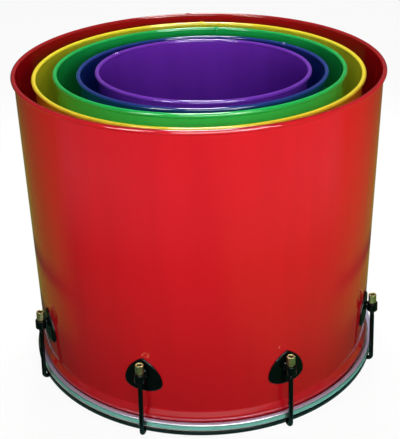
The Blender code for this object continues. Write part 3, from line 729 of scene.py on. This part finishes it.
def hook_line(top, bend_at, bend_r, rise, rod_r, thread_to, core_r):
    """Points and radii of a J hook: threaded top, plain shank, bend and domed tip."""
    lean = math.atan2(bend_at[0] + bend_r - top[0], top[1] - bend_at[1])
    at = lambda z: (top[0] + math.tan(lean) * (top[1] - z), z)
    points = [at(top[1]), at(top[1] - 0.0006), at(thread_to), at(thread_to - 0.0008), at(bend_at[1] + 0.006)]
    radii = [core_r * 0.8, core_r, core_r, rod_r, rod_r]
    turn = arc(bend_at, bend_r, 0.0, -180.0, 17)
    points += turn
    radii += [rod_r] * len(turn)
    for share in (0.0, 0.35, 0.6, 0.8, 0.93, 1.0):
        points.append((bend_at[0] - bend_r, bend_at[1] + rise - rod_r * 0.8 * (1.0 - share)))
        radii.append(rod_r * math.sqrt(max(0.02, 1.0 - share ** 2)))
    return points, radii


thread_nodes = thread_tree()
top_at = (-ROD_TOP * math.tan(ROD_LEAN), ROD_TOP)
core_r = ROD_R - THREAD_DEPTH
line, radii = hook_line(top_at, BEND_AT, BEND_R, TIP_RISE, ROD_R, ROD_TOP - THREAD_LONG, core_r)
thread_long = THREAD_LONG - 0.0012
hook = worked(bent_rod(line, radii), thread_nodes,
              {"Core Radius": core_r, "Depth": THREAD_DEPTH, "Turns": thread_long / THREAD_PITCH,
               "Length": thread_long, "Top": (top_at[0], 0.0, top_at[1] - 0.0008), "Lean": -ROD_LEAN,
               "Finish": lacquer}, crease=60.0)


def round_shell(mesh, name, angle, radius=0.0, height=0.0):
    """A copy of a fitting made along +X, turned to its lug's place round the shell."""
    made = mesh.copy()
    made.name = name
    made.transform(Matrix.Rotation(angle - math.pi / 2, 4, "Z") @ Matrix.Translation((radius, 0.0, height)))
    return made


for i in range(RED_LUGS):
    name = "red_hook_%d_threaded" % (i + 1)
    fitted(name, round_shell(hook, name, FIRST_LUG + math.tau * i / RED_LUGS, NUT_R, NUT_Z),
           "red_hook_%d" % (i + 1), "black_lacquer", "red_tension_hook_%d" % (i + 1))

# red sleeve nuts
# Eight long hexagon nuts cut from bar, their ends turned to a cone, which leaves scallops on the
# flats. Yellow zinc plated. They stand on the lugs' bushes and draw the hooks up.
NUT_FLATS = 0.0094
NUT_H = 0.0125
NUT_FACE_R = 0.0042       # flat ring that is left at each end
NUT_CONE = math.tan(math.radians(32.0))
NUT_BORE_R = 0.0032


def yellow_zinc():
    """Yellow passivated zinc: a thin bright plating whose gold drifts to green, with the fine
    grain of cut bar below it."""
    mat = bpy.data.materials.new("yellow_zinc_plating")
    mat.use_nodes = True
    tree = mat.node_tree
    shader = tree.nodes["Principled BSDF"]
    spot = add(tree, "ShaderNodeTexCoord").outputs["Object"]
    drift = add(tree, "ShaderNodeTexNoise", {"Vector": spot, "Scale": 1 / 0.008, "Detail": 2.0}).outputs[0]
    pull = add(tree, "ShaderNodeMapping", {"Vector": spot, "Scale": (1.0, 1.0, 0.12)}).outputs[0]
    grain = add(tree, "ShaderNodeTexNoise", {"Vector": pull, "Scale": 1 / 0.0005, "Detail": 2.0}).outputs[0]
    colour = add(tree, "ShaderNodeMix", {0: drift, 6: linear("EEDDA2"), 7: linear("CCCC84")},
                 data_type="RGBA").outputs[2]
    rough = add(tree, "ShaderNodeMapRange", {0: grain, 1: 0.3, 2: 0.7, 3: 0.26, 4: 0.42}).outputs[0]
    facing = add(tree, "ShaderNodeNewGeometry").outputs["Normal"]
    facing = add(tree, "ShaderNodeSeparateXYZ", {0: facing}).outputs["Z"]
    metal = add(tree, "ShaderNodeMapRange", {0: facing, 1: 0.3, 2: 0.8, 3: 1.0, 4: 0.45}).outputs[0]
    relief = add(tree, "ShaderNodeBump", {"Height": grain, "Strength": 1.0, "Distance": 0.00001}).outputs[0]
    tree.links.new(colour, shader.inputs["Base Color"])
    tree.links.new(rough, shader.inputs["Roughness"])
    tree.links.new(relief, shader.inputs["Normal"])
    tree.links.new(metal, shader.inputs["Metallic"])
    return mat


def sleeve_nut(flats, low, high, bore, face_r, matrix, sides=72):
    """Hexagon bar with coned ends and a bore, moved by the matrix."""
    bm = bmesh.new()
    rings = []
    for k in range(sides):
        a = math.tau * k / sides
        hexagon = flats / 2 / math.cos((a % (math.pi / 3)) - math.pi / 6)
        edge = min(hexagon, flats / math.sqrt(3) * 0.975)
        fall = (edge - face_r) * NUT_CONE
        section = [(bore, low + 0.0005), (bore + 0.0005, low), (face_r, low), (edge, low + fall),
                   (edge, high - fall), (face_r, high), (bore + 0.0005, high), (bore, high - 0.0005)]
        rings.append([bm.verts.new(matrix @ Vector((r * math.cos(a), r * math.sin(a), z))) for r, z in section])
    for k, one in enumerate(rings):
        two = rings[(k + 1) % sides]
        for i in range(len(one)):
            bm.faces.new((one[i], one[(i + 1) % len(one)], two[(i + 1) % len(one)], two[i]))
    return meshed("nut", bm)


zinc = yellow_zinc()
nut = outward(sleeve_nut(NUT_FLATS, 0.0, NUT_H, NUT_BORE_R, NUT_FACE_R, Matrix.Rotation(-ROD_LEAN, 4, "Y")), 24.0)
nut.materials.append(zinc)
for i in range(RED_LUGS):
    name = "red_nut_%d_hexagon" % (i + 1)
    fitted(name, round_shell(nut, name, FIRST_LUG + math.tau * i / RED_LUGS, NUT_R, NUT_Z),
           "red_nut_%d" % (i + 1), "yellow_zinc", "red_nut_%d" % (i + 1))

# yellow, green, blue and purple drums
# Four smaller drums of the same make, each stood inside the last one on its head. Only their rims
# and upper walls show. Hooks, nuts and lugs are smaller, six to a drum, and hidden in the nest.
INNER_LUGS = 6
INNER_BAND_OUT = 0.0091
INNER_BAND_Z = 0.00535
INNER_FLANGE_Z = 0.0108
INNER_FLESH_OUT = 0.0085
INNER_FLESH_Z = (0.0131, 0.0201)
INNER_FILM_Z = 0.0123
INNER_ROD_OUT = 0.01105
INNER_ROD_R = 0.0022
INNER_BEND_R = 0.00285
INNER_RISE = 0.0045
INNER_BUSH = (0.0780, 0.0875)
INNER_BUSH_R = 0.0046
INNER_BORE_R = 0.0029
INNER_NECK_W = 0.0055
INNER_NUT = (0.0878, 0.1008)
INNER_NUT_FLATS = 0.0080
INNER_PLATE = {"wide": 0.0340, "up": 0.0170, "down": 0.0220, "widest": 0.0085, "thick": 0.0016}
INNER_DRUMS = {
    "yellow": {"wall": 0.2043, "rim": 0.3952, "foot": (0.0, 0.0, 0.00085), "lean": (0.0, 0.0), "turn": -50.0},
    "green": {"wall": 0.1810, "rim": 0.3913, "foot": (0.0014, 0.0, 0.005318), "lean": (0.0003, 0.0199),
              "turn": -40.0},
    "blue": {"wall": 0.1558, "rim": 0.3841, "foot": (0.0046, 0.0, 0.00736), "lean": (0.0007, 0.0275),
             "turn": -54.0},
    "purple": {"wall": 0.1335, "rim": 0.3836, "foot": (0.0030, 0.0001, 0.009177), "lean": (0.0079, 0.0273),
               "turn": -42.0},
}
stands = {"red": Matrix.Identity(4)}
for colour, drum in INNER_DRUMS.items():
    wall, body = drum["wall"], colour + "_drum"
    axis = Vector((*drum["lean"], 1.0)).normalized()
    stand = (Matrix.Translation(drum["foot"])
             @ Vector((0.0, 0.0, 1.0)).rotation_difference(axis).to_matrix().to_4x4())
    stands[colour] = stand
    hoop_r = wall + INNER_BAND_OUT
    rod_r = wall + INNER_ROD_OUT
    middle = sum(INNER_BUSH) / 2
    shell = turned(colour + "_shell_turned", shell_section(wall, drum["rim"], []), enamels[colour])
    head = turned(colour + "_head_film", head_section(wall, INNER_FILM_Z, wall + INNER_FLESH_OUT - FILM_EDGE_IN),
                  film, closed=False)
    flesh = turned(colour + "_flesh_hoop_ring", flesh_section(wall + FLESH_BORE_OUT, wall + INNER_FLESH_OUT,
                                                              *INNER_FLESH_Z), aluminium)
    band = turned(colour + "_counterhoop_band", counterhoop_section(hoop_r, INNER_BAND_Z, wall + FLANGE_IN,
                                                                    INNER_FLANGE_Z), lacquer)
    bm = bmesh.new()
    domed_plate(bm, wall, middle, INNER_PLATE, 12)
    neck(bm, wall + INNER_PLATE["thick"] * 0.6, rod_r - INNER_BORE_R - 0.0006, middle, INNER_NECK_W,
         INNER_BUSH[1] - INNER_BUSH[0] - 0.0024, corner=0.0018)
    lathed(bm, bush_section(INNER_BUSH_R, INNER_BORE_R, *INNER_BUSH, edge=0.0004),
           Matrix.Translation((rod_r, 0.0, 0.0)), 28)
    ring = {"Count": INNER_LUGS, "First Turn": math.radians(drum["turn"]) - math.pi / 2}
    lug_ring = worked(meshed("lugs", bm), copies_nodes, {**ring, "Finish": lacquer}, crease=48.0)
    line, radii = hook_line((rod_r, INNER_NUT[1] - 0.002), (rod_r - INNER_BEND_R, INNER_BAND_Z), INNER_BEND_R,
                            INNER_RISE, INNER_ROD_R, INNER_BUSH[0] - 0.03, INNER_ROD_R)
    hook_ring = worked(bent_rod(line, radii, 14), copies_nodes, {**ring, "Finish": lacquer}, crease=60.0)
    nut_ring = worked(sleeve_nut(INNER_NUT_FLATS, *INNER_NUT, INNER_ROD_R, 0.0035,
                                 Matrix.Translation((rod_r, 0.0, 0.0)), 48),
                      copies_nodes, {**ring, "Finish": zinc}, crease=24.0)
    for kind, mesh, slot, node in (
            ("shell_turned", shell, colour + "_enamel", "shell"), ("head_film", head, "head_film", "head"),
            ("flesh_hoop_ring", flesh, "polished_aluminium", "flesh_hoop"),
            ("counterhoop_band", band, "black_lacquer", "counterhoop"),
            ("lugs_pressed", lug_ring, "black_lacquer", "shell"),
            ("hooks_bent", hook_ring, "black_lacquer", "counterhoop"),
            ("nuts_hexagon", nut_ring, "yellow_zinc", "counterhoop")):
        mesh.name = colour + "_" + kind
        mesh.transform(stand)
        fitted(mesh.name, mesh, body, slot, colour + "_" + node)

# seams
# Each shell is one sheet, butt welded from top to bottom and the weld ground nearly flush. Where
# it crosses the rolled bead a small lump is left, which the enamel covers and light picks out.
SEAMS = {"red": -3.4, "yellow": 1.7, "green": 8.0, "blue": 46.0, "purple": -59.0}  # from the back to +X
LUMP_HALF = 0.0036        # half a lump's length along the rim
LUMP_RISE = 0.0009
SEAM_W = 0.0020
SEAM_RISE = 0.00035


def rim_lump(bead_r, bead_z, angle, top_z, seed):
    """A weld lump on the bead: a short stretch of a slightly thicker, uneven bead."""
    bm = bmesh.new()
    rings = []
    for k in range(25):
        t = -1.0 + k / 12
        a = angle + t * LUMP_HALF / bead_r
        window = max(0.0, 1.0 - t * t) ** 0.7
        ring = []
        for j in range(28):
            b = math.tau * j / 28
            uneven = 0.62 + 0.9 * noise.noise(Vector((t * 4.6, math.cos(b) * 2.2 + seed, math.sin(b) * 2.2)))
            thick = BEAD_R - 0.00006 + LUMP_RISE * window * max(0.0, uneven) * 1.3
            r, z = bead_r + thick * math.cos(b), min(top_z, bead_z + thick * math.sin(b))
            ring.append(bm.verts.new((r * math.sin(a), r * math.cos(a), z)))
        rings.append(ring)
    for one, two in zip(rings, rings[1:]):
        for j in range(28):
            bm.faces.new((one[j], one[(j + 1) % 28], two[(j + 1) % 28], two[j]))
    bm.faces.new(rings[0])
    bm.faces.new(list(reversed(rings[-1])))
    return bm


def seam_strip(bm, face_r, out, low, high, angle):
    """A low rounded ridge down one face of the wall. out is 1 on the outer face, -1 inside."""
    rings = []
    for k in range(61):
        z = low + (high - low) * k / 60
        ring = []
        for j in range(7):
            across = -1.0 + j / 3
            rise = SEAM_RISE * math.sqrt(max(0.0, 1.0 - across ** 2)) * (
                0.8 + 0.4 * noise.noise(Vector((z * 300.0, across, angle))))
            r = face_r + out * (rise - 0.00005)
            a = angle + across * SEAM_W / 2 / face_r
            ring.append(bm.verts.new((r * math.sin(a), r * math.cos(a), z)))
        back = face_r - out * 0.0002
        ring.append(bm.verts.new((back * math.sin(angle), back * math.cos(angle), z)))
        rings.append(ring)
    for one, two in zip(rings, rings[1:]):
        for j in range(8):
            bm.faces.new((one[j], one[(j + 1) % 8], two[(j + 1) % 8], two[j]))
    bm.faces.new(rings[0])
    bm.faces.new(list(reversed(rings[-1])))


for seed, (colour, degrees) in enumerate(SEAMS.items()):
    wall = RED_R if colour == "red" else INNER_DRUMS[colour]["wall"]
    rim = RED_RIM_Z if colour == "red" else INNER_DRUMS[colour]["rim"]
    angle = math.radians(degrees)
    top = model_box[1].z if colour == "red" else rim + 1.0
    bm = rim_lump(wall + BEAD_SHIFT, rim, angle, top, seed * 3.7)
    seam_strip(bm, wall - WALL_T, -1.0, BASE_Z + 0.04, rim - 0.0024, angle)
    seam_strip(bm, wall, 1.0, BASE_Z + 0.04, rim - 0.0030, angle)
    seam = outward(meshed(colour + "_seam_weld", bm), 60.0)
    seam.materials.append(enamels[colour])
    seam.transform(stands[colour])
    fitted(colour + "_seam_weld", seam, colour + "_drum", colour + "_enamel", colour + "_shell")
